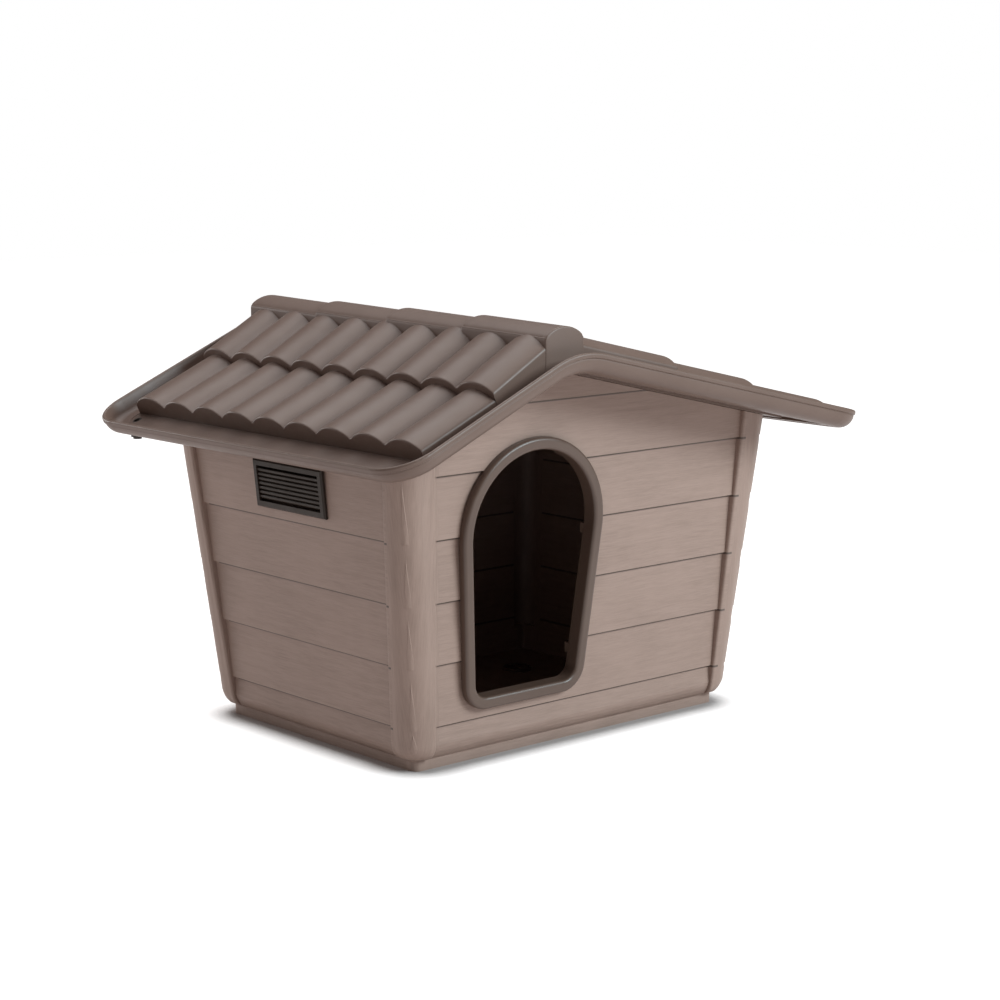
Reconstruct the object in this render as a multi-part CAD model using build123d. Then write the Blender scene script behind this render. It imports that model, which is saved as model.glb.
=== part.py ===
from build123d import *
import math
import os

# A small outdoor pet kennel in moulded plastic: a flared one-piece tub with lapped-board walls,
# a tiled saddle roof that lifts off, a door surround, two louvred vents, two rain spouts and a
# floor plug. Millimetres. X runs along the front, Y from front to rear, Z up. The origin is on
# the ground, at the middle of the whole object's footprint. The front faces -Y.

os.makedirs("parts", exist_ok=True)

# Roof: the lip is the top edge of the rim, and every height on a slope is measured from it.
roof_width = 600.0
roof_depth = 486.0
eave_height = 294.0
ridge_shift = -95.0
ridge_rise = 90.0
ridge_radius = 95.0
roof_corner_radius = 40.0
sheet_top = -16.0
sheet_thickness = 3.0
rim_foot_reach = 24.0
rim_foot_extra = 0.3
rim_foot_overlap = 2.0
gutter_margin = 23.85
headroom = 36.0

# The rim's section, measured in from the lip's outer edge and down from its top.
rim_roll_radius = 2.0
rim_fascia_in = 6.4
rim_fascia_down = 9.0
rim_sweep_in = 15.0
rim_sweep_middle = 9.2
rim_sweep_rise = 2.2
rim_under_middle = 6.2
rim_under_rise = 3.4
rim_drip_in = 1.2
rim_drip_down = 6.4
rim_bead_in = 1.4
rim_bead_top = 4.2
rim_bead_bottom = 5.0

# Tiles: two courses on the short slope, three on the long one.
tiles_across = 9
tile_hump = 9.0
tile_wall = 3.0
left_course_starts = [44.0, 134.0]
left_course_crests = [3.0, 10.0]
right_course_starts = [36.0, 148.0, 260.0]
right_course_crests = [5.0, 9.0, 13.0]

# Ridge cap: overlapping saddle tiles moulded into the roof.
cap_segments = 4
cap_half_width = 22.5
cap_above_ridge = 17.5
cap_arch = 9.0
cap_step = 3.0
cap_wall = 3.0

# Tub: outer half sizes at the ground, growing by the lean for each millimetre of height.
tub_half_width = 200.7
tub_half_depth = 150.0
side_lean = 0.109
gable_lean = 0.081
wall_thickness = 6.5
plinth_inset_sides = 6.7
plinth_inset_gables = 7.0
plinth_height = 9.5
plinth_wall = 3.5
plinth_corner_radius = 7.0
skirt_round_height = 28.0
floor_underside = 3.0
floor_thickness = 3.5
foot_steps = 5

# Boards: each one is flush at its lower edge and set back at its upper edge.
first_lap = 41.6
lap_pitch = 57.8
lap_setback = 3.0
lowest_board = 23.5
least_board = 25.0
cut_beyond = 8.0

# Corner posts, proud of the boards, with a channel behind each.
post_proud = 4.0
post_corner_radius = 22.0
post_edge_radius = 2.5
post_skin = 3.5
post_width_front = 23.2
post_front_lean = 0.065
post_width_side = 28.5
post_side_lean = 0.096
post_end_height = 16.0
post_end_inset = 12.0
post_end_narrowing = 2.4

# Doorway and its surround, measured up the leaning front wall.
door_from_corner = 124.7
door_below_eave = 81.0
door_sill_height = 50.0
surround_outer_radius = 85.6
surround_corner_radius = 26.0
surround_band = 11.6
surround_proud = 7.5
surround_edge_radius = 3.4
sleeve_wall = 2.6
sleeve_behind = 1.0
door_taper = 5.1
door_fit = 0.5
clip_width = 10.0
clip_reach = 3.0
clip_depth = 5.0
clip_below_arch = 10.0
clip_above_foot = 38.0
clip_angles = [60.0, 120.0]

# Vents, one on each side wall.
vent_centre_y = -6.0
vent_below_eave = 47.0
vent_width = 106.0
vent_height = 46.0
vent_border = 6.0
vent_proud = 3.5
vent_bevel = 1.6
vent_slats = 7
slat_thickness = 1.6
slat_depth = 7.0
slat_tilt = 38.0
vent_sleeve_wall = 2.0
vent_fit = 0.5

# Rain spouts under the two rear corners of the gutter.
spout_run_in = 30.5
spout_from_rear = 35.0
spout_collar_radius = 6.2
spout_neck_radius = 4.2
spout_bore_radius = 3.2
spout_length = 13.0
spout_rod = 30.0
spout_fit = 0.4
spout_seat_gap = 0.1
spout_flutes = 12
flute_radius = 0.7

# Floor plug.
plug_x = 120.0
plug_y = 70.0
plug_radius = 11.0
plug_head_radius = 15.0
plug_head_height = 3.0
plug_fit = 0.4
plug_seat_gap = 0.3
plug_grip = 2.0
plug_edge_radius = 1.0
plug_pocket_width = 9.0

# How the roof sits on the tub, whose middle is a little to the left of the roof's and behind it.
tub_shift_x = -6.0
tub_shift_y = 5.0
roof_gap = 0.4
seat_outer_margin = 7.0
rib_clearance = 1.5
rib_thickness = 3.0
rib_drop = 10.0
side_rib_length = 240.0
gable_rib_length = 40.0
gable_rib_reach = 80.0

ridge_height = eave_height + ridge_rise
above_all = ridge_height + headroom
left_angle = math.atan2(ridge_rise, roof_width / 2 + ridge_shift)
right_angle = math.atan2(ridge_rise, roof_width / 2 - ridge_shift)
half_turn = (left_angle + right_angle) / 2
sheet_underside = sheet_top - sheet_thickness
block_half_depth = roof_depth / 2 - gutter_margin
cap_crown_height = ridge_height + cap_above_ridge
floor_top = floor_underside + floor_thickness
plinth_half_width = tub_half_width - plinth_inset_sides
plinth_half_depth = tub_half_depth - plinth_inset_gables
door_centre_x = door_from_corner - tub_half_width
door_arch_height = eave_height - door_below_eave
surround_drop = door_arch_height - door_sill_height
vent_centre_z = eave_height - vent_below_eave


class Slope:
    """One side of the roof, with distances up the slope and heights above the lip line."""

    def __init__(self, side, angle):
        self.side = side
        self.up = Vector(-side * math.cos(angle), 0, math.sin(angle))
        self.out = Vector(side * math.sin(angle), 0, math.cos(angle))
        self.length = (roof_width / 2 - side * ridge_shift) / math.cos(angle)

    def point(self, run, rise, y=0.0):
        """The point at a distance up the slope and a height above the lip line."""
        start = Vector(self.side * roof_width / 2, y, eave_height)
        return start + self.up * run + self.out * rise

    def across(self, run):
        """The plane square to the slope, with its own y along the height above the lip."""
        return Plane(self.point(run, 0), x_dir=(0, -self.side, 0), z_dir=self.up)


left = Slope(-1, left_angle)
right = Slope(1, right_angle)


def apex(rise):
    """The sharp corner where both slopes, raised by the same height, would meet."""
    bisector = (left.out + right.out).normalized()
    top = Vector(ridge_shift, 0, ridge_height)
    return top + bisector * (rise / math.cos(half_turn))


def gable_band(top, bottom, run_in, half_depth):
    """The roof's rounded gable section between two heights, drawn out along Y."""
    corners = [
        left.point(run_in, top),
        apex(top),
        right.point(run_in, top),
        right.point(run_in, bottom),
        apex(bottom),
        left.point(run_in, bottom),
    ]
    band = Plane.XZ * make_face(Polyline(*[(c.X, c.Z) for c in corners], close=True))
    for rise in (top, bottom):
        near = band.vertices().sort_by_distance(apex(rise))[0]
        band = fillet(near, ridge_radius + rise)
    return extrude(band, half_depth, both=True)


def rim_section(origin, inward, out):
    """The flared rim: a rolled lip, a groove, a fascia that curves under, and a flat foot."""
    foot_top = sheet_top + rim_foot_extra
    foot_bottom = sheet_underside - rim_foot_extra
    roll = rim_roll_radius
    rounding = roll - roll / math.sqrt(2)
    fascia_end = (rim_fascia_in, -rim_fascia_down)
    sweep_middle = (rim_sweep_middle, foot_top + rim_sweep_rise)
    under_middle = (rim_under_middle, foot_bottom + rim_under_rise)
    drip = (rim_drip_in, -rim_drip_down)
    bead = (rim_bead_in, -rim_bead_bottom)
    edges = [
        ThreePointArc((0, -roll), (rounding, -rounding), (roll, 0)),
        ThreePointArc((roll, 0), (2 * roll - rounding, -rounding), (2 * roll, -roll)),
        Line((2 * roll, -roll), fascia_end),
        ThreePointArc(fascia_end, sweep_middle, (rim_sweep_in, foot_top)),
        Line((rim_sweep_in, foot_top), (rim_foot_reach, foot_top)),
        Line((rim_foot_reach, foot_top), (rim_foot_reach, foot_bottom)),
        Line((rim_foot_reach, foot_bottom), (rim_sweep_in, foot_bottom)),
        ThreePointArc((rim_sweep_in, foot_bottom), under_middle, drip),
        Line(drip, bead),
        Line(bead, (0, -rim_bead_top)),
        Line((0, -rim_bead_top), (0, -roll)),
    ]
    return Plane(origin, x_dir=inward, z_dir=inward.cross(out)) * make_face(edges)


def rim():
    """The rim all round: eaves, rakes, rounded corners and the two arcs over the ridge."""
    pieces = []
    half_depth = roof_depth / 2
    straight = half_depth - roof_corner_radius
    tangent = ridge_radius * math.tan(half_turn)
    for slope in (left, right):
        eave = rim_section(slope.point(0, 0, -straight), slope.up, slope.out)
        pieces.append(extrude(eave, 2 * straight, dir=(0, 1, 0)))
        for end in (-1, 1):
            start = rim_section(slope.point(0, 0, end * straight), slope.up, slope.out)
            centre = slope.point(roof_corner_radius, 0, end * straight)
            turn = 90 * slope.side * end
            pieces.append(revolve(start, Axis(centre, slope.out), turn))
            inward = Vector(0, -end, 0)
            rake = rim_section(slope.point(roof_corner_radius, 0, end * half_depth), inward, slope.out)
            pieces.append(extrude(rake, slope.length - roof_corner_radius - tangent, dir=slope.up))
    for end in (-1, 1):
        foot = left.point(left.length - tangent, 0, end * half_depth)
        start = rim_section(foot, Vector(0, -end, 0), left.out)
        centre = foot - left.out * ridge_radius
        pieces.append(revolve(start, Axis(centre, (0, 1, 0)), math.degrees(2 * half_turn)))
    return pieces


def scallops(crest, half_width, bottom):
    """A row of arched tiles in section, from a flat bottom up to the crests."""
    pitch = 2 * half_width / tiles_across
    valley = crest - tile_hump
    edges = [
        Line((-half_width, valley), (-half_width, bottom)),
        Line((-half_width, bottom), (half_width, bottom)),
        Line((half_width, bottom), (half_width, valley)),
    ]
    for index in range(tiles_across):
        start = -half_width + index * pitch
        edges.append(ThreePointArc((start, valley), (start + pitch / 2, crest), (start + pitch, valley)))
    return make_face(edges)


def course(slope, start, stop, crest, inset):
    """One course of tiles on a slope, or, with an inset, the hollow inside it."""
    section = scallops(crest - inset, block_half_depth - inset, sheet_underside - headroom)
    return extrude(slope.across(start + inset) * section, stop - start, dir=slope.up)


def courses(slope, starts, crests, inset):
    """All courses of one slope, ending at the vertical plane under the ridge."""
    stops = starts[1:] + [slope.length + 2 * headroom]
    rows = [course(slope, *row, inset) for row in zip(starts, stops, crests)]
    whole = rows[0].fuse(*rows[1:])
    box = Box(roof_width, roof_depth, 2 * above_all)
    return whole & Pos(ridge_shift + slope.side * roof_width / 2, 0, 0) * box


def cap_section(y, half_width, crown):
    """The ridge cap's section: upright sides and a flattened arch."""
    shoulder = crown - cap_arch
    base = eave_height
    edges = [
        Line((-half_width, shoulder), (-half_width, base)),
        Line((-half_width, base), (half_width, base)),
        Line((half_width, base), (half_width, shoulder)),
        ThreePointArc((half_width, shoulder), (0, crown), (-half_width, shoulder)),
    ]
    return Plane((ridge_shift, y, 0), x_dir=(1, 0, 0), z_dir=(0, -1, 0)) * make_face(edges)


def ridge_cap():
    """Saddle tiles along the ridge, each raised at its rear end over the one behind."""
    length = 2 * block_half_depth / cap_segments
    segments = []
    for index in range(cap_segments):
        rear = block_half_depth - index * length
        high = cap_section(rear, cap_half_width + cap_step / 2, cap_crown_height + cap_step)
        low = cap_section(rear - length, cap_half_width, cap_crown_height)
        segments.append(loft([high, low], ruled=True))
    return segments


def cap_hollow():
    """The space under the ridge cap."""
    low = cap_crown_height - cap_wall
    section = cap_section(block_half_depth - cap_wall, cap_half_width - cap_wall, low)
    return extrude(section, 2 * (block_half_depth - cap_wall), dir=(0, -1, 0))


def on_tub(piece):
    """A piece made about the tub's own middle, moved to where the tub stands."""
    return Pos(tub_shift_x, tub_shift_y, 0) * piece


def half_width_at(z):
    """Half the tub's width over the boards."""
    return tub_half_width + side_lean * z


def half_depth_at(z):
    """Half the tub's depth over the boards."""
    return tub_half_depth + gable_lean * z


def wall_top(side):
    """The height at which a side wall meets the underside of the roof."""
    slope = left if side < 0 else right
    angle = left_angle if side < 0 else right_angle
    run = roof_width / 2 - half_width_at(eave_height)
    return eave_height + run * math.tan(angle) + sheet_underside / math.cos(angle)


def rib_face(half_at):
    """How far out a locating rib stands, clear of the wall that it goes down inside."""
    lowest = min(wall_top(-1), wall_top(1)) - rib_drop - rib_thickness
    return half_at(lowest) - wall_thickness - rib_clearance


def seat_frame():
    """The thick band of the roof that stays solid over the tops of the walls."""
    outer_x = half_width_at(eave_height) + seat_outer_margin
    outer_y = half_depth_at(ridge_height) + seat_outer_margin
    inner_x = rib_face(half_width_at) - rib_thickness
    inner_y = rib_face(half_depth_at) - rib_thickness
    tall = 2 * above_all
    return on_tub(Box(2 * outer_x, 2 * outer_y, tall) - Box(2 * inner_x, 2 * inner_y, tall))


def locating_ribs():
    """Short ribs under the roof that stand just inside the four walls."""
    band = gable_band(sheet_underside + 1, sheet_underside - rib_drop, 0, roof_depth / 2)
    ribs = []
    for side in (-1, 1):
        middle = side * (rib_face(half_width_at) - rib_thickness / 2)
        ribs.append(Pos(middle, 0, 0) * Box(rib_thickness, side_rib_length, 2 * above_all))
    for end in (-1, 1):
        middle = end * (rib_face(half_depth_at) - rib_thickness / 2)
        for x in (ridge_shift - gable_rib_reach, ridge_shift, ridge_shift + gable_rib_reach):
            ribs.append(Pos(x, middle, 0) * Box(gable_rib_length, rib_thickness, 2 * above_all))
    return [on_tub(rib) & band for rib in ribs]


def spout_place(slope):
    """The point in the gutter floor that a spout hangs from."""
    return slope.point(spout_run_in, sheet_underside, roof_depth / 2 - spout_from_rear)


def roof_shell():
    """The whole roof moulding."""
    outside = gable_band(2 * headroom, sheet_underside, 0, roof_depth / 2)
    margin = rim_foot_reach - rim_foot_overlap
    sheet = gable_band(sheet_top, sheet_underside, margin, roof_depth / 2 - margin)
    for slope in (left, right):
        place = spout_place(slope)
        hole = Cylinder(spout_neck_radius + spout_fit / 2, spout_rod)
        sheet = sheet - Pos(place.X, place.Y, place.Z) * hole
    tiles = courses(left, left_course_starts, left_course_crests, 0)
    tiles = tiles.fuse(courses(right, right_course_starts, right_course_crests, 0), *ridge_cap())
    hollow = courses(left, left_course_starts, left_course_crests, tile_wall)
    hollow = hollow.fuse(courses(right, right_course_starts, right_course_crests, tile_wall))
    hollow = hollow.fuse(cap_hollow()) - seat_frame()
    body = (tiles & outside).fuse(sheet, *rim()) - hollow
    return body.fuse(*locating_ribs())


def spout(slope):
    """A short fluted spout: a collar against the gutter's underside and a neck through it."""
    place = spout_place(slope)
    deep = sheet_underside - 2 * headroom
    foot_bottom = sheet_underside - rim_foot_extra
    under = gable_band(foot_bottom - spout_seat_gap, deep, 0, roof_depth / 2)
    through = gable_band(sheet_top, deep, 0, roof_depth / 2)
    low = place.Z - spout_length
    collar = Pos(place.X, place.Y, low + spout_rod / 2) * Cylinder(spout_collar_radius, spout_rod)
    for index in range(spout_flutes):
        turn = Rot(0, 0, index * 360 / spout_flutes)
        flute = turn * Pos(spout_collar_radius, 0, 0) * Cylinder(flute_radius, 2 * spout_rod)
        collar = collar - Pos(place.X, place.Y, low) * flute
    neck = Pos(place.X, place.Y, place.Z) * Cylinder(spout_neck_radius, spout_rod)
    bore = Pos(place.X, place.Y, place.Z) * Cylinder(spout_bore_radius, 4 * spout_rod)
    return (collar & under).fuse(neck & through) - bore


def plan_section(z, half_x, half_y, radius):
    """A level rectangle with rounded corners."""
    return Pos(0, 0, z) * RectangleRounded(2 * half_x, 2 * half_y, radius)


def skirt_inset(z, start_x, end_x):
    """How far the foot of the wall has curved in at a height, as an arc that starts upright."""
    rise = skirt_round_height - plinth_height
    inset = start_x - end_x
    radius = (rise * rise + inset * inset) / (2 * inset)
    down = skirt_round_height - z
    return radius - math.sqrt(radius * radius - down * down)


def tub_core():
    """The solid tub without posts: plinth, curved foot and leaning walls with lapped boards."""
    radius = plinth_corner_radius
    plinth = extrude(plan_section(0, plinth_half_width, plinth_half_depth, radius), plinth_height)
    wide_x = half_width_at(skirt_round_height)
    wide_y = half_depth_at(skirt_round_height)
    foot = []
    for index in range(foot_steps + 1):
        z = plinth_height + (skirt_round_height - plinth_height) * index / foot_steps
        half_x = wide_x - skirt_inset(z, wide_x, plinth_half_width)
        half_y = wide_y - skirt_inset(z, wide_y, plinth_half_depth)
        foot.append(plan_section(z, half_x, half_y, radius))
    walls = [plan_section(skirt_round_height, wide_x, wide_y, radius)]
    walls.append(plan_section(above_all, half_width_at(above_all), half_depth_at(above_all), radius))
    body = plinth.fuse(loft(foot, ruled=True), loft(walls, ruled=True))
    return body - board_cuts()


def board_cut(lower, upper, half_at, plane, length):
    """The wedge in front of one board, drawn out along the wall."""
    corners = [
        (half_at(lower), lower),
        (half_at(lower) + cut_beyond, lower),
        (half_at(upper) + cut_beyond, upper),
        (half_at(upper) - lap_setback, upper),
    ]
    return extrude(plane * make_face(Polyline(*corners, close=True)), length, both=True)


def board_edges(wall_height, top):
    """The heights of the laps that leave at least a short board under the top of a wall."""
    count = math.ceil((wall_height - least_board - first_lap) / lap_pitch)
    return [lowest_board] + [first_lap + index * lap_pitch for index in range(count)] + [top]


def board_cuts():
    """All the wedges that give the four walls their lapped boards."""
    gable_edges = board_edges(ridge_height, ridge_height + roof_gap)
    lower_top, upper_top = sorted([wall_top(-1), wall_top(1)])
    side_edges = board_edges(lower_top, upper_top + lap_setback)
    cuts = []
    for end in (-1, 1):
        gable_plane = Plane((0, 0, 0), x_dir=(0, end, 0), z_dir=(end, 0, 0))
        side_plane = Plane((0, 0, 0), x_dir=(end, 0, 0), z_dir=(0, -end, 0))
        for lower, upper in zip(gable_edges, gable_edges[1:]):
            cuts.append(board_cut(lower, upper, half_depth_at, gable_plane, roof_width / 2))
        for lower, upper in zip(side_edges, side_edges[1:]):
            cuts.append(board_cut(lower, upper, half_width_at, side_plane, roof_depth / 2))
    return cuts


def post_plan(z, proud, narrow, corner_radius, edge_radius):
    """A post's level section at one corner, from its two edges out to its proud faces."""
    x = half_width_at(z) + proud
    y = half_depth_at(z) + proud
    edge_x = tub_half_width - post_width_front + post_front_lean * z + narrow
    edge_y = tub_half_depth - post_width_side + post_side_lean * z + narrow
    corners = [(edge_x, edge_y), (edge_x, y), (x, y), (x, edge_y)]
    plan = Pos(0, 0, z) * make_face(Polyline(*corners, close=True))
    plan = fillet(plan.vertices().sort_by_distance((x, y, z))[0], corner_radius)
    if edge_radius:
        for corner in ((edge_x, y, z), (x, edge_y, z)):
            plan = fillet(plan.vertices().sort_by_distance(corner)[0], edge_radius)
    return plan


def post_solid():
    """A solid corner post, rounded at its corner, its edges and its lower end."""
    plans = []
    for index in range(foot_steps + 1):
        level = index / foot_steps
        curve = 1 - math.sqrt(1 - (1 - level) ** 2)
        z = plinth_height + post_end_height * level
        inset = post_end_inset * curve
        radius = post_corner_radius - inset
        plans.append(post_plan(z, post_proud - inset, post_end_narrowing * curve, radius, post_edge_radius))
    top = post_plan(above_all, post_proud, 0, post_corner_radius, post_edge_radius)
    return loft(plans, ruled=True).fuse(loft([plans[-1], top], ruled=True))


def post_channel():
    """The channel that the hollow post leaves in the inner corner."""
    low = skirt_round_height + post_skin
    radius = post_corner_radius - post_skin
    plans = [post_plan(z, post_proud - post_skin, post_skin, radius, 0) for z in (low, above_all)]
    return loft(plans, ruled=True)


def at_four_corners(piece):
    """The piece and its mirror images at the other three corners."""
    beside = mirror(piece, Plane.YZ)
    return [piece, beside, mirror(piece, Plane.XZ), mirror(beside, Plane.XZ)]


def cabin_space():
    """The space inside the walls, above the floor."""
    radius = plinth_corner_radius - plinth_wall
    foot_x = plinth_half_width - plinth_wall
    foot_y = plinth_half_depth - plinth_wall
    plans = [plan_section(floor_top, foot_x, foot_y, radius)]
    for z in (first_lap, above_all):
        half_x = half_width_at(z) - wall_thickness
        half_y = half_depth_at(z) - wall_thickness
        plans.append(plan_section(z, half_x, half_y, radius))
    lower = loft(plans[:2], ruled=True)
    upper = loft(plans[1:], ruled=True)
    return [lower, upper]


def front_plane():
    """The plane of the front wall's boards, through the centre of the door's arch."""
    origin = (door_centre_x, -half_depth_at(door_arch_height), door_arch_height)
    return Plane(origin, x_dir=(1, 0, 0), z_dir=(0, -1, -gable_lean))


def door_outline(radius, drop, corner_radius):
    """An arch whose sides lean in towards a flat foot with rounded corners."""
    lean = math.radians(door_taper)
    foot_x = (radius - drop * math.sin(lean)) / math.cos(lean)
    shoulder = (radius * math.cos(lean), -radius * math.sin(lean))
    edges = [
        ThreePointArc((-shoulder[0], shoulder[1]), (0, radius), shoulder),
        Line(shoulder, (foot_x, -drop)),
        Line((foot_x, -drop), (-foot_x, -drop)),
        Line((-foot_x, -drop), (-shoulder[0], shoulder[1])),
    ]
    outline = make_face(edges)
    for x in (foot_x, -foot_x):
        outline = fillet(outline.vertices().sort_by_distance((x, -drop, 0))[0], corner_radius)
    return outline


def surround_outline(inset):
    """The surround's outline, moved inwards by an inset."""
    radius = surround_outer_radius - inset
    return door_outline(radius, surround_drop - inset, surround_corner_radius - inset)


def door_surround():
    """The rounded frame in front of the wall, its sleeve through it and the clips behind."""
    plane = front_plane()
    outer = surround_outline(0)
    inner = surround_outline(surround_band)
    sleeve_outer = surround_outline(surround_band - sleeve_wall)
    flange = extrude(plane * (outer - inner), surround_proud, dir=plane.z_dir)
    front_face = flange.faces().sort_by(Axis((0, 0, 0), plane.z_dir))[-1]
    flange = fillet(front_face.edges(), surround_edge_radius)
    length = wall_thickness + sleeve_behind
    sleeve = extrude(plane * (sleeve_outer - inner), length, dir=-plane.z_dir)
    return flange.fuse(sleeve, *surround_clips(plane))


def surround_clips(plane):
    """Snap clips on the sleeve that catch the inner face of the wall."""
    lean = math.radians(door_taper)
    radius = surround_outer_radius - surround_band + sleeve_wall
    back = wall_thickness + sleeve_behind / 2
    clips = []
    for down in (clip_below_arch, surround_drop - clip_above_foot):
        for side in (-1, 1):
            x = side * (radius - down * math.sin(lean)) / math.cos(lean)
            turn = Rot(0, 0, side * math.degrees(lean))
            block = Box(clip_reach + sleeve_wall, clip_width, clip_depth)
            place = Pos(x + side * (clip_reach - sleeve_wall) / 2, -down, -back - clip_depth / 2)
            clips.append(plane.location * place * turn * block)
    for angle in clip_angles:
        x = math.cos(math.radians(angle))
        y = math.sin(math.radians(angle))
        reach = radius + (clip_reach - sleeve_wall) / 2
        block = Rot(0, 0, angle) * Box(clip_reach + sleeve_wall, clip_width, clip_depth)
        clips.append(plane.location * Pos(reach * x, reach * y, -back - clip_depth / 2) * block)
    return clips


def doorway():
    """The opening in the front wall that the sleeve passes through."""
    plane = front_plane()
    outline = surround_outline(surround_band - sleeve_wall - door_fit)
    return extrude(plane * outline, 3 * wall_thickness, both=True)


def vent_plane(side):
    """The plane of a side wall's boards, through the middle of its vent."""
    origin = (side * half_width_at(vent_centre_z), vent_centre_y, vent_centre_z)
    return Plane(origin, x_dir=(0, side, 0), z_dir=(side, 0, -side_lean))


def vent_grille(side):
    """A bevelled frame with leaning slats and a sleeve that fits the wall."""
    plane = vent_plane(side)
    opening = (vent_width - 2 * vent_border, vent_height - 2 * vent_border)
    plate = Box(vent_width, vent_height, vent_proud, align=(Align.CENTER, Align.CENTER, Align.MIN))
    plate = chamfer(plate.faces().sort_by(Axis.Z)[-1].edges(), vent_bevel)
    depth = wall_thickness + sleeve_behind
    sleeve_size = (opening[0] + 2 * vent_sleeve_wall, opening[1] + 2 * vent_sleeve_wall, depth)
    sleeve = Box(*sleeve_size, align=(Align.CENTER, Align.CENTER, Align.MAX))
    cut = Box(*opening, 4 * depth)
    grille = plate.fuse(sleeve) - cut
    pitch = opening[1] / (vent_slats + 1)
    for index in range(vent_slats):
        y = -opening[1] / 2 + (index + 1) * pitch
        slat = Rot(slat_tilt, 0, 0) * Box(opening[0] + vent_sleeve_wall, slat_thickness, slat_depth)
        grille = grille.fuse(Pos(0, y, -slat_depth / 2 + vent_proud - vent_bevel) * slat)
    return plane.location * grille


def vent_hole(side):
    """The opening in a side wall that a vent's sleeve fits."""
    plane = vent_plane(side)
    margin = 2 * (vent_sleeve_wall + vent_fit)
    size = (vent_width - 2 * vent_border + margin, vent_height - 2 * vent_border + margin)
    return plane.location * Box(*size, 4 * wall_thickness)


def body_tub():
    """The whole tub: floor, plinth, four walls and four posts in one moulding."""
    body = tub_core().fuse(*at_four_corners(post_solid()))
    body = body - cabin_space() - at_four_corners(post_channel())
    under_x = 2 * (plinth_half_width - plinth_wall)
    under_y = 2 * (plinth_half_depth - plinth_wall)
    body = body - Box(under_x, under_y, 2 * floor_underside)
    body = body - doorway() - vent_hole(-1) - vent_hole(1)
    body = body - Pos(plug_x, plug_y, floor_top) * Cylinder(plug_radius + plug_fit, 4 * floor_thickness)
    return on_tub(body) - gable_band(above_all, sheet_underside - roof_gap, -roof_width / 2, roof_depth)


def floor_plug():
    """A round plug in the floor, with a shallow grip across its head."""
    head = Cylinder(plug_head_radius, plug_head_height, align=(Align.CENTER, Align.CENTER, Align.MIN))
    head = fillet(head.edges().sort_by(Axis.Z)[-1], plug_edge_radius)
    stem_length = floor_thickness + plug_seat_gap
    stem = Cylinder(plug_radius, stem_length, align=(Align.CENTER, Align.CENTER, Align.MAX))
    plug = head.fuse(stem)
    for side in (-1, 1):
        pocket = Box(plug_pocket_width, plug_head_radius, 2 * plug_grip)
        plug = plug - Pos(side * plug_head_radius / 2, 0, plug_head_height) * pocket
    return Pos(plug_x, plug_y, floor_top + plug_seat_gap) * plug


pieces = {
    "body_tub": body_tub(),
    "roof_shell": roof_shell(),
    "door_surround": on_tub(door_surround()),
    "left_vent": on_tub(vent_grille(-1)),
    "right_vent": on_tub(vent_grille(1)),
    "left_spout": spout(left),
    "right_spout": spout(right),
    "floor_plug": on_tub(floor_plug()),
}

for name, piece in pieces.items():
    export_step(piece, f"parts/{name}.step")
    print(name, round(piece.volume), piece.bounding_box())
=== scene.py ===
import math

import bmesh
import bpy
import numpy as np
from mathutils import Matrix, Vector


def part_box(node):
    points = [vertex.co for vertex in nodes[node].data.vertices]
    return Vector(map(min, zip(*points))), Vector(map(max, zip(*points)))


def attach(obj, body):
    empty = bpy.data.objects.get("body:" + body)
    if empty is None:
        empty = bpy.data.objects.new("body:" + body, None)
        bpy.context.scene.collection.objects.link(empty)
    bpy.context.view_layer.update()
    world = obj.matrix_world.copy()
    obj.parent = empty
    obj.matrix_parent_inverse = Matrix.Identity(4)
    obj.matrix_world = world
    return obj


# A small outdoor pet kennel in moulded plastic. Everything is in metres, in the frame's own
# axes: X runs along the front, Y to the rear and Z up, and the front faces -Y.

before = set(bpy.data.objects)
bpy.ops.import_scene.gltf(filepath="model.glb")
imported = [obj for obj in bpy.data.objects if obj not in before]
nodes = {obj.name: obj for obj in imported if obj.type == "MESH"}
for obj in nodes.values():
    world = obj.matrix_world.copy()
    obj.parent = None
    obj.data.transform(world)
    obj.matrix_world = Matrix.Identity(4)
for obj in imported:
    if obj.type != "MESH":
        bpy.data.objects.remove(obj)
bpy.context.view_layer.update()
print("frame loaded:", ", ".join(sorted(nodes)))


def addNode(tree, kind, sockets=None, **options):
    # one shader node: its options are set, and each socket takes a number or a link
    node = tree.nodes.new(kind)
    for name, value in options.items():
        setattr(node, name, value)
    for name, value in (sockets or {}).items():
        if isinstance(value, bpy.types.NodeSocket):
            tree.links.new(value, node.inputs[name])
        else:
            node.inputs[name].default_value = value
    return node


def calc(tree, operation, *values):
    # a Math node: operation applied to up to three numbers or links
    sockets = {index: value for index, value in enumerate(values)}
    return addNode(tree, "ShaderNodeMath", sockets, operation=operation).outputs[0]


def noiseAt(tree, vector, scale, detail=2.0, roughness=0.5):
    # the height, 0 to 1, of a fractal noise at a vector
    sockets = {"Vector": vector, "Scale": scale, "Detail": detail, "Roughness": roughness}
    return addNode(tree, "ShaderNodeTexNoise", sockets).outputs["Fac"]


def mixColour(tree, factor, first, second):
    # a straight blend of two colours
    node = addNode(tree, "ShaderNodeMix", data_type="RGBA")
    factorSocket, firstSocket, secondSocket = (node.inputs[index] for index in (0, 6, 7))
    for socket, value in ((factorSocket, factor), (firstSocket, first), (secondSocket, second)):
        if isinstance(value, bpy.types.NodeSocket):
            tree.links.new(value, socket)
        elif isinstance(value, tuple):
            socket.default_value = (*value, 1.0)
        else:
            socket.default_value = value
    return node.outputs[2]


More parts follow.
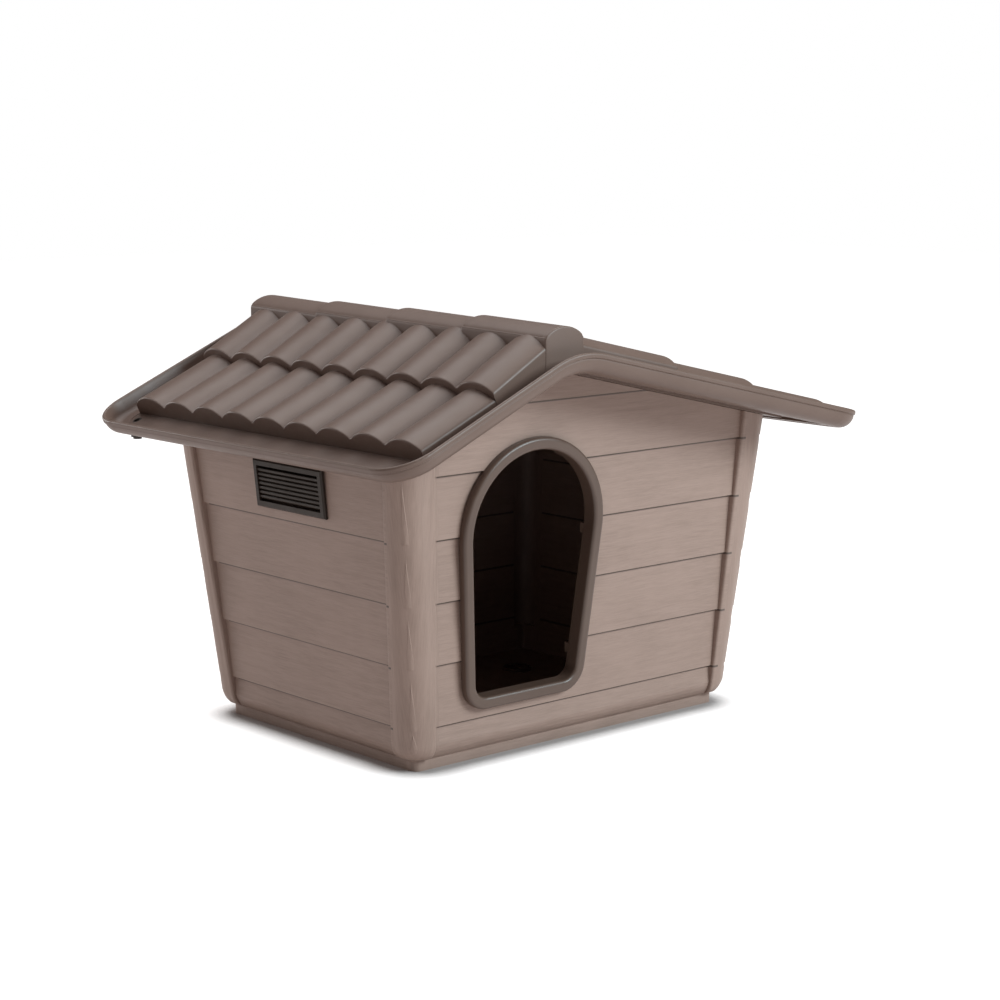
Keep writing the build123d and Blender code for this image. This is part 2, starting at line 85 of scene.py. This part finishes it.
def startMaterial(name, look):
    # an empty Principled material with the constant numbers on its own sockets
    material = bpy.data.materials.new(name)
    material.use_nodes = True
    tree = material.node_tree
    shader = tree.nodes["Principled BSDF"]
    shader.inputs["Specular IOR Level"].default_value = look["gloss"]
    coords = addNode(tree, "ShaderNodeTexCoord").outputs["Object"]
    return material, tree, shader, coords


def softRange(tree, value, low, high, newLow, newHigh):
    # value from low..high mapped in a straight line to newLow..newHigh, clamped
    sockets = {"Value": value, "From Min": low, "From Max": high}
    sockets.update({"To Min": newLow, "To Max": newHigh})
    return addNode(tree, "ShaderNodeMapRange", sockets).outputs["Result"]


wallLook = {
    "colour": (0.290, 0.198, 0.162),
    "grainColour": (0.242, 0.163, 0.131),
    # the painted shade under each board's lower edge: its dark colour and how far down it reaches
    "lapShadeColour": (0.070, 0.050, 0.041),
    "lapShade": 0.0014,
    "gloss": 0.40,
    "roughness": (0.42, 0.52),
    "firstLap": 0.0416,
    "boardPitch": 0.0578,
    "grainLength": 0.016,
    "grainWidth": 0.0010,
    "grainWander": 0.0012,
    "grainDepth": 0.00028,
    "grainBump": 0.8,
    "broadScale": 0.24,  # the broad streaks' scale beside the fine ones
    "fineShare": 0.6,
    "wanderScale": 9.0,
    "mottleScale": 14.0,
    "mottlePale": 1.10,
    "boardOffset": 3.7,  # moves the grain on from each board to the next
    "sideOffset": 5.3,  # and from the gable walls to the side walls
    "postSmooth": 0.7,  # share of the grain's relief that the posts lack
    "postEdge": (0.1775, 0.1215),
    "postLean": (0.065, 0.096),
}


def wallPlastic():
    # boards and posts: streaks run along each board and up each post, drawn from
    # noise(along / grainLength, across / grainWidth), with the streaks wandering slowly
    look = wallLook
    material, tree, shader, coords = startMaterial("wallPlastic", look)
    place = addNode(tree, "ShaderNodeSeparateXYZ", {0: coords}).outputs
    facing = addNode(tree, "ShaderNodeNewGeometry").outputs["Normal"]
    turn = addNode(tree, "ShaderNodeSeparateXYZ", {0: facing}).outputs
    steepX, steepY = (calc(tree, "ABSOLUTE", turn[axis]) for axis in (0, 1))
    sideWall = calc(tree, "GREATER_THAN", steepX, steepY)
    yLessX = calc(tree, "SUBTRACT", place[1], place[0])
    along = calc(tree, "MULTIPLY_ADD", sideWall, yLessX, place[0])
    aboveFirst = calc(tree, "SUBTRACT", place[2], look["firstLap"])
    height = calc(tree, "DIVIDE", aboveFirst, look["boardPitch"])
    board = calc(tree, "MULTIPLY", calc(tree, "FLOOR", height), look["boardOffset"])
    board = calc(tree, "MULTIPLY_ADD", sideWall, look["sideOffset"], board)
    slow = noiseAt(tree, coords, look["wanderScale"], 1.0)
    wander = calc(tree, "MULTIPLY", calc(tree, "SUBTRACT", slow, 0.5), look["grainWander"] * 4)
    across = calc(tree, "DIVIDE", calc(tree, "ADD", place[2], wander), look["grainWidth"])
    lengthwise = calc(tree, "ADD", calc(tree, "DIVIDE", along, look["grainLength"]), board)
    boards = addNode(tree, "ShaderNodeCombineXYZ", {0: lengthwise, 1: board, 2: across}).outputs[0]
    upright = calc(tree, "DIVIDE", place[2], look["grainLength"])
    sideways = calc(tree, "DIVIDE", along, look["grainWidth"])
    posts = addNode(tree, "ShaderNodeCombineXYZ", {0: sideways, 1: 2.0, 2: upright}).outputs[0]
    masks = []
    for axis in (0, 1):
        edge = calc(tree, "MULTIPLY_ADD", place[2], look["postLean"][axis], look["postEdge"][axis])
        masks.append(calc(tree, "GREATER_THAN", calc(tree, "ABSOLUTE", place[axis]), edge))
    onPost = calc(tree, "MULTIPLY", *masks)
    blend = addNode(tree, "ShaderNodeMix", {0: onPost, 4: boards, 5: posts}, data_type="VECTOR")
    grainPlace = blend.outputs[1]
    fine = noiseAt(tree, grainPlace, 1.0, 3.0, 0.62)
    broad = noiseAt(tree, grainPlace, look["broadScale"], 2.0, 0.5)
    broadPart = calc(tree, "MULTIPLY", broad, 1 - look["fineShare"])
    grain = calc(tree, "ADD", calc(tree, "MULTIPLY", fine, look["fineShare"]), broadPart)
    mottle = noiseAt(tree, coords, look["mottleScale"], 3.0, 0.55)
    depth = softRange(tree, grain, 0.36, 0.62, 1.0, 0.0)
    tone = mixColour(tree, depth, look["colour"], look["grainColour"])
    pale = tuple(channel * look["mottlePale"] for channel in look["colour"])
    tone = mixColour(tree, softRange(tree, mottle, 0.4, 0.75, 0.0, 0.5), tone, pale)
    # painted shade: a thin dark band just below each board's lower edge, where the lap above would
    # shade the board beneath; the posts have none
    below = calc(tree, "SUBTRACT", 1.0, calc(tree, "FRACT", height))
    lapWidth = look["lapShade"] / look["boardPitch"]
    lapShade = softRange(tree, below, lapWidth, lapWidth * 1.7, 0.9, 0.0)
    lapShade = calc(tree, "MULTIPLY", lapShade, calc(tree, "SUBTRACT", 1.0, onPost))
    tone = mixColour(tree, lapShade, tone, look["lapShadeColour"])
    tree.links.new(tone, shader.inputs["Base Color"])
    smooth, rough = look["roughness"]
    tree.links.new(softRange(tree, grain, 0.3, 0.7, rough, smooth), shader.inputs["Roughness"])
    reliefShare = calc(tree, "MULTIPLY_ADD", onPost, -look["postSmooth"], 1.0)
    relief = calc(tree, "MULTIPLY", grain, reliefShare)
    sockets = {"Height": relief, "Strength": look["grainBump"], "Distance": look["grainDepth"]}
    bump = addNode(tree, "ShaderNodeBump", sockets)
    tree.links.new(bump.outputs[0], shader.inputs["Normal"])
    return material


roofLook = {
    "colour": (0.124, 0.076, 0.058),
    "pale": (0.138, 0.087, 0.068),
    "gloss": 0.42,
    "roughness": (0.42, 0.48),
}
trimLook = {
    "colour": (0.082, 0.048, 0.035),
    "pale": (0.094, 0.057, 0.042),
    "gloss": 0.5,
    "roughness": (0.34, 0.45),
}
ventLook = {
    "colour": (0.026, 0.016, 0.011),
    "pale": (0.034, 0.022, 0.016),
    "gloss": 0.25,
    "roughness": (0.40, 0.52),
}
darkLook = {
    "colour": (0.040, 0.030, 0.025),
    "pale": (0.055, 0.043, 0.036),
    "gloss": 0.45,
    "roughness": (0.38, 0.50),
}
mouldedSkin = {
    "stipple": 1400.0,
    "stippleDepth": 0.00003,
    "flow": 11.0,
    "ripple": 70.0,
    "rippleDepth": 0.00012,
    "rippleBump": 0.5,
    "stippleBump": 0.7,
}


def mouldedPlastic(name, look):
    # a smooth moulding: the colour blends to pale with a slow noise, the roughness follows a
    # ripple noise, and relief = ripple noise * its depth + fine stipple noise * its depth
    material, tree, shader, coords = startMaterial(name, look)
    skin = mouldedSkin
    flow = noiseAt(tree, coords, skin["flow"], 3.0, 0.6)
    ripple = noiseAt(tree, coords, skin["ripple"], 2.0, 0.5)
    stipple = noiseAt(tree, coords, skin["stipple"], 2.0, 0.6)
    tone = mixColour(tree, softRange(tree, flow, 0.35, 0.7, 0.0, 1.0), look["colour"], look["pale"])
    tree.links.new(tone, shader.inputs["Base Color"])
    rough = softRange(tree, ripple, 0.3, 0.7, *look["roughness"])
    tree.links.new(rough, shader.inputs["Roughness"])
    sockets = {"Height": ripple, "Strength": skin["rippleBump"], "Distance": skin["rippleDepth"]}
    wide = addNode(tree, "ShaderNodeBump", sockets)
    sockets = {"Height": stipple, "Strength": skin["stippleBump"], "Distance": skin["stippleDepth"]}
    sockets["Normal"] = wide.outputs[0]
    bump = addNode(tree, "ShaderNodeBump", sockets)
    tree.links.new(bump.outputs[0], shader.inputs["Normal"])
    return material


finishes = {
    "wall_plastic": wallPlastic(),
    "roof_plastic": mouldedPlastic("roofPlastic", roofLook),
    "surround_plastic": mouldedPlastic("trimPlastic", trimLook),
    "vent_plastic": mouldedPlastic("ventPlastic", ventLook),
    "spout_plastic": mouldedPlastic("spoutPlastic", darkLook),
    "plug_plastic": mouldedPlastic("plugPlastic", trimLook),
}
nodeFinish = {
    "body_tub": "wall_plastic",
    "roof_shell": "roof_plastic",
    "door_surround": "surround_plastic",
    "left_vent": "vent_plastic",
    "right_vent": "vent_plastic",
    "left_spout": "spout_plastic",
    "right_spout": "spout_plastic",
    "floor_plug": "plug_plastic",
}
for name, finish in nodeFinish.items():
    nodes[name].data.materials.clear()
    nodes[name].data.materials.append(finishes[finish])
print("materials made:", len(finishes))

roofForm = {
    "halfWidth": 0.300,
    "eaveHeight": 0.294,
    "ridgeX": -0.095,
    "ridgeRise": 0.090,
    "blockHalfDepth": 0.21915,
    "sheetTop": -0.0165,
    "proud": 0.0004,  # the tiles stand this far outside the CAD roof, which they cover
    "endStep": 0.0003,  # each course and then the cap end this much further out
    "edgeRadius": 0.0014,
    "edgeSteps": 5,
}
tileForm = {
    "across": 9,
    "hump": 0.009,
    "samples": 14,
    "runSamples": 12,
    "underCap": 0.014,
    "lift": 0.0080,  # the left top course rises by this much more towards the cap
    "lap": 0.010,
    # side, start and stop up the slope, crest above the slope, and how far out it ends
    "courses": {
        "leftLowTiles": (-1, 0.044, 0.134, 0.003, 0),
        "leftTopTiles": (-1, 0.134, None, 0.010, 1),
        "rightLowTiles": (1, 0.036, 0.148, 0.005, 0),
        "rightMiddleTiles": (1, 0.148, 0.260, 0.009, 1),
        "rightTopTiles": (1, 0.260, None, 0.013, 2),
    },
}
capForm = {
    "segments": 4,
    "level": 3,  # ends one step further out than the last tile course
    "halfWidth": 0.0225,
    "crown": 0.4015,
    "arch": 0.009,
    "step": 0.003,
    "archSamples": 25,
    "runSamples": 8,
    "sideSamples": 9,
    "shoulderFrom": 0.88,  # share of the half width where the shoulder starts to round off
    "shoulderDrop": 0.0016,
    "sideStep": 0.0008,  # the sides start this far under the edge of the arch
    "shoulderFall": 0.02,  # share of the way to the foot that the corner has fallen
    "flare": 0.0035,
    "flareFade": 0.0040,
    "flareFrom": 0.359,
    "foot": 0.3595,
}


def slopeFrame(side):
    # one slope of the roof: its eave, the directions up and out of it, and its length
    form = roofForm
    run = form["halfWidth"] - side * form["ridgeX"]
    length = math.hypot(run, form["ridgeRise"])
    cosine, sine = run / length, form["ridgeRise"] / length
    eave = np.array([side * form["halfWidth"], 0.0, form["eaveHeight"]])
    up = np.array([-side * cosine, 0.0, sine])
    out = np.array([side * sine, 0.0, cosine])
    return eave, up, out, length


def roundedEnds(length, radius, steps, spread):
    # places along a run of a length and their drops: a wall at each end, a quarter circle
    # offset = r (1 - cos a), drop = r (1 - sin a), then a level run between
    angles = np.linspace(0.0, math.pi / 2, steps)
    offset = radius * (1 - np.cos(angles))
    drop = radius * (1 - np.sin(angles))
    inner = np.linspace(radius, length - radius, spread)[1:-1]
    near = np.array([radius * 1.6, length - radius * 1.6])
    inner = np.sort(np.concatenate([inner, near]))
    places = np.concatenate([[0.0, 0.0], offset, inner, length - offset[::-1], [length, length]])
    drops = np.concatenate([[1.0, radius * 1.6], drop, 0 * inner, drop[::-1], [radius * 1.6, 1.0]])
    return places, drops


def solidFrom(name, points, body, slot, outward):
    # a closed solid from a grid of points: quads over the grid and one flat face under its
    # rim, turned so that the middle of the grid faces outward, with its doubles merged
    rows, columns = points.shape[:2]
    index = np.arange(rows * columns).reshape(rows, columns)
    quads = np.stack([index[:-1, :-1], index[:-1, 1:], index[1:, 1:], index[1:, :-1]], axis=-1)
    quads = quads.reshape(-1, 4)
    rim = np.concatenate([index[0, :], index[1:, -1], index[-1, -2::-1], index[-2:0:-1, 0]])
    row, column = rows // 2, columns // 2
    alongRow = points[row, column + 1] - points[row, column]
    downColumn = points[row + 1, column] - points[row, column]
    if np.dot(np.cross(alongRow, downColumn), outward) < 0:
        quads = quads[:, ::-1]
    else:
        rim = rim[::-1]
    return closedObject(name, points.reshape(-1, 3), quads.tolist() + [rim.tolist()], body, slot)


meshCare = {"merge": 0.000002, "sharpDegrees": 50}


def closedObject(name, places, faces, body, slot):
    # a mesh object of one closed shell or several, doubles merged and faces pointing outward
    mesh = bpy.data.meshes.new(name)
    mesh.from_pydata(places.tolist(), [], faces)
    shape = bmesh.new()
    shape.from_mesh(mesh)
    bmesh.ops.remove_doubles(shape, verts=shape.verts, dist=meshCare["merge"])
    bmesh.ops.dissolve_degenerate(shape, edges=shape.edges, dist=meshCare["merge"])
    bmesh.ops.recalc_face_normals(shape, faces=shape.faces)
    shape.to_mesh(mesh)
    shape.free()
    mesh.shade_smooth()
    mesh.set_sharp_from_angle(angle=math.radians(meshCare["sharpDegrees"]))
    mesh.materials.append(finishes[slot])
    piece = bpy.data.objects.new(name, mesh)
    bpy.context.scene.collection.objects.link(piece)
    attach(piece, body)
    return piece


def tileCourse(name, side, start, stop, crest, level):
    # a row of arched tiles: rise(y) = crest - R + sqrt(R^2 - t^2), with t measured from the
    # middle of each tile, lowered by the rounded drops at both ends of its run and its width;
    # the left top course also gains lift times the share of its run
    form = tileForm
    eave, up, out, length = slopeFrame(side)
    proud, radius = roofForm["proud"], roofForm["edgeRadius"]
    half = roofForm["blockHalfDepth"] + proud + level * roofForm["endStep"]
    top = stop is None
    stop = (length - form["underCap"]) if top else stop + form["lap"]
    start = start - proud
    steps, acrossSamples = roofForm["edgeSteps"], form["across"] * form["samples"] + 1
    run, runDrop = roundedEnds(stop - start, radius, steps, form["runSamples"])
    width, widthDrop = roundedEnds(2 * half, radius, steps, acrossSamples)
    pitch = 2 * half / form["across"]
    arc = (pitch * pitch / 4 + form["hump"] ** 2) / (2 * form["hump"])
    fromMiddle = np.mod(width, pitch) - pitch / 2
    fromMiddle[width > 2 * half - 1e-9] = pitch / 2
    arch = crest + proud - arc + np.sqrt(arc * arc - fromMiddle ** 2)
    lift = form["lift"] * run / run[-1] if top and side < 0 else 0 * run
    rise = arch[None, :] + (lift - runDrop)[:, None] - widthDrop[None, :]
    rise = np.maximum(rise, roofForm["sheetTop"])
    y = (width - half)[None, :] + 0 * rise
    along = (start + run)[:, None] + 0 * rise
    points = eave + up * along[..., None] + out * rise[..., None]
    points[..., 1] = y
    return solidFrom(name, points, "roof", "roof_plastic", out)


def capSegment(index):
    # a saddle tile: drop = R - sqrt(R^2 - t^2) across its width, upright sides that flare out
    # at the foot by f exp(-height / fade), and a rear end raised and widened by the step
    form, radius = capForm, roofForm["edgeRadius"]
    proud = roofForm["proud"] + form["level"] * roofForm["endStep"]
    full = 2 * roofForm["blockHalfDepth"]
    length = full / form["segments"]
    rear = full / 2 - index * length
    run, drop = roundedEnds(length + 2 * proud, radius, roofForm["edgeSteps"], form["runSamples"])
    share = 1 - run / run[-1]
    halfWidth = form["halfWidth"] + roofForm["proud"] + form["step"] / 2 * share
    crown = form["crown"] + roofForm["proud"] + form["step"] * share
    span = np.linspace(-1.0, 1.0, form["archSamples"])
    arc = (form["halfWidth"] ** 2 + form["arch"] ** 2) / (2 * form["arch"])
    topDrop = arc - np.sqrt(arc * arc - (span * form["halfWidth"]) ** 2)
    shoulder = (np.abs(span) - form["shoulderFrom"]) / (1 - form["shoulderFrom"])
    topDrop = topDrop + form["shoulderDrop"] * np.clip(shoulder, 0, 1) ** 2
    sideSteps = np.linspace(1.0, 0.0, form["sideSamples"])
    side, corner = np.ones(form["sideSamples"]), [form["shoulderFall"]]
    x = np.concatenate([-side, span, side])
    sideDrop = (topDrop[0] + form["sideStep"]) * side
    fall = np.concatenate([sideSteps[:-1], corner, 0 * span, corner, sideSteps[::-1][1:]])
    crownZ = crown[:, None] - np.concatenate([sideDrop, topDrop, sideDrop])[None, :]
    z = crownZ + (form["foot"] - crownZ) * fall[None, :]
    flare = form["flare"] * np.exp(-(z - form["flareFrom"]).clip(0) / form["flareFade"])
    inset = np.minimum(drop, radius)[:, None]
    z = np.maximum(z - inset * (fall[None, :] < 0.5), form["foot"])
    z[0, :] = form["foot"]
    z[-1, :] = form["foot"]
    widthNow = halfWidth[:, None] + flare - inset
    across = roofForm["ridgeX"] + x[None, :] * widthNow
    y = (rear + proud - run)[:, None] + 0 * z
    points = np.stack([across, y, z], axis=-1)
    upward = np.array([0.0, 0.0, 1.0])
    return solidFrom(f"ridgeCap{index + 1}", points, "roof", "roof_plastic", upward)


slatForm = {
    "count": 7,
    "length": 0.094,
    "openingHeight": 0.034,
    "face": 0.0028,
    "depth": 0.0030,
    "recess": 0.0007,  # behind the frame's face
    "outline": 25,
    "lean": 0.109,
}


def ventSlats(name, side, node):
    # louvre fronts: a rounded rectangle |u/a|^4 + |v/b|^4 = 1 carried along the vent, one for
    # each slat, with both ends closed by shrinking the outline to its middle
    form = slatForm
    low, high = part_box(node)
    centreY = (low.y + high.y) / 2
    outerX = high.x if side > 0 else low.x
    middleZ = (low.z + high.z) / 2
    angles = np.linspace(0.0, 2 * math.pi, form["outline"])
    across, upward = np.cos(angles), np.sin(angles)
    outlineU = np.sign(across) * np.sqrt(np.abs(across)) * form["depth"] / 2
    outlineV = np.sign(upward) * np.sqrt(np.abs(upward)) * form["face"] / 2
    ends = np.array([0.0, 0.0, 0.5, 1.0, 1.0])
    sizes = np.array([0.0, 1.0, 1.0, 1.0, 0.0])
    pitch = form["openingHeight"] / (form["count"] + 1)
    faces, places = [], []
    grid = np.arange(ends.size * angles.size).reshape(ends.size, angles.size)
    quads = np.stack([grid[:-1, :-1], grid[:-1, 1:], grid[1:, 1:], grid[1:, :-1]], axis=-1)
    quads = quads.reshape(-1, 4)
    for slat in range(form["count"]):
        rise = (slat + 1) * pitch - form["openingHeight"] / 2
        z = middleZ + rise + outlineV[None, :] * sizes[:, None]
        inward = form["recess"] + form["depth"] / 2 - outlineU[None, :] * sizes[:, None]
        x = outerX - side * inward + side * form["lean"] * (z - high.z)
        y = centreY + (ends[:, None] - 0.5) * form["length"] + 0 * z
        places.append(np.stack([x, y, z], axis=-1).reshape(-1, 3))
        faces.append(quads + slat * grid.size)
    allFaces = np.concatenate(faces).tolist()
    return closedObject(name, np.concatenate(places), allFaces, "tub", "vent_plastic")


ventSlats("leftSlats", -1, "left_vent")
ventSlats("rightSlats", 1, "right_vent")
for courseName, courseValues in tileForm["courses"].items():
    tileCourse(courseName, *courseValues)
for segment in range(capForm["segments"]):
    capSegment(segment)
print("roof tiles and ridge cap made")

studio = {
    "floorSize": 14.0,
    "floorColour": (0.38, 0.34, 0.33),
    "ambient": 0.16,
    "backdrop": 1.0,
    "glow": 0.95,
    "glowOnObject": 0.70,  # share of the floor's glow that reaches the kennel
    "shadeReach": 0.040,
    "shadeRange": (0.50, 0.88),  # openness at which the floor is darkest and white
    "lights": {
        "keyLight": {
            "at": (1.1, -2.5, 1.7),
            "aim": (0.0, 0.0, 0.2),
            "size": (1.6, 1.2),
            "power": 100.0,
            "colour": (0.86, 1.02, 1.08),
        },
        "edgeLight": {
            "at": (-1.1, 3.2, 1.0),
            "aim": (0.0, 0.0, 0.2),
            "size": (0.8, 0.8),
            "power": 34.0,
            "colour": (1.0, 0.98, 0.96),
        },
        "topLight": {
            "at": (0.1, 0.5, 2.3),
            "aim": (0.0, 0.0, 0.3),
            "size": (2.4, 2.0),
            "power": 42.0,
            "colour": (1.0, 1.0, 1.0),
        },
    },
}
cameraPlace = {
    "at": (-1.4464, -1.6671, 0.5758),
    "azimuth": -41.401,
    "elevation": 9.412,
    "lens": 81.5,
}


def makeStudio():
    # a pale floor that glows, with a painted contact shadow where its glow fades beside the kennel,
    # an even pale surround and soft lamps
    half = studio["floorSize"] / 2
    corners = [(-half, -half, 0), (half, -half, 0), (half, half, 0), (-half, half, 0)]
    mesh = bpy.data.meshes.new("studioFloor")
    mesh.from_pydata(corners, [], [(0, 1, 2, 3)])
    floor = bpy.data.objects.new("studioFloor", mesh)
    bpy.context.scene.collection.objects.link(floor)
    material = bpy.data.materials.new("paleFloor")
    material.use_nodes = True
    shader = material.node_tree.nodes["Principled BSDF"]
    shader.inputs["Base Color"].default_value = (*studio["floorColour"], 1.0)
    shader.inputs["Roughness"].default_value = 0.9
    shader.inputs["Specular IOR Level"].default_value = 0.1
    tree = material.node_tree
    # painted contact shadow: the floor's glow is cut where ambient occlusion finds the kennel close
    # by
    reach = {"Distance": studio["shadeReach"]}
    openness = addNode(tree, "ShaderNodeAmbientOcclusion", reach, samples=8)
    shader.inputs["Emission Color"].default_value = (1.0, 1.0, 1.0, 1.0)
    seen = addNode(tree, "ShaderNodeLightPath").outputs["Is Camera Ray"]
    sockets = {"Value": seen, "To Min": studio["glowOnObject"], "To Max": 1.0}
    share = addNode(tree, "ShaderNodeMapRange", sockets)
    shaded = softRange(tree, openness.outputs["AO"], *studio["shadeRange"], 0.0, studio["glow"])
    glow = calc(tree, "MULTIPLY", shaded, share.outputs[0])
    tree.links.new(glow, shader.inputs["Emission Strength"])
    mesh.materials.append(material)

    world = bpy.data.worlds.new("studioWorld")
    bpy.context.scene.world = world
    world.use_nodes = True
    tree = world.node_tree
    seen = addNode(tree, "ShaderNodeLightPath").outputs["Is Camera Ray"]
    sockets = {"Value": seen, "To Min": studio["ambient"], "To Max": studio["backdrop"]}
    strength = addNode(tree, "ShaderNodeMapRange", sockets)
    background = tree.nodes["Background"]
    background.inputs[0].default_value = (1.0, 1.0, 1.0, 1.0)
    tree.links.new(strength.outputs[0], background.inputs[1])

    for name, lamp in studio["lights"].items():
        data = bpy.data.lights.new(name, "AREA")
        data.shape = "RECTANGLE"
        data.size, data.size_y = lamp["size"]
        data.energy = lamp["power"]
        data.color = lamp["colour"]
        light = bpy.data.objects.new(name, data)
        bpy.context.scene.collection.objects.link(light)
        back = np.array(lamp["at"]) - np.array(lamp["aim"])
        light.location = lamp["at"]
        light.rotation_euler = aimAngles(*back)
    bpy.context.scene.view_settings.view_transform = "Standard"


def aimAngles(x, y, z):
    # turns for a lamp or camera whose back points along (x, y, z)
    return (math.atan2(math.hypot(x, y), z), 0.0, math.atan2(y, x) + math.pi / 2)


def makeCamera():
    # a long lens at the left of the front, a little above the eaves
    data = bpy.data.cameras.new("camera")
    data.lens = cameraPlace["lens"]
    camera = bpy.data.objects.new("camera", data)
    bpy.context.scene.collection.objects.link(camera)
    azimuth = math.radians(cameraPlace["azimuth"])
    elevation = math.radians(cameraPlace["elevation"])
    level = math.cos(elevation)
    camera.location = cameraPlace["at"]
    backX, backY = math.sin(azimuth) * level, -math.cos(azimuth) * level
    camera.rotation_euler = aimAngles(backX, backY, math.sin(elevation))
    bpy.context.scene.camera = camera


makeStudio()
makeCamera()
print("studio and camera made")
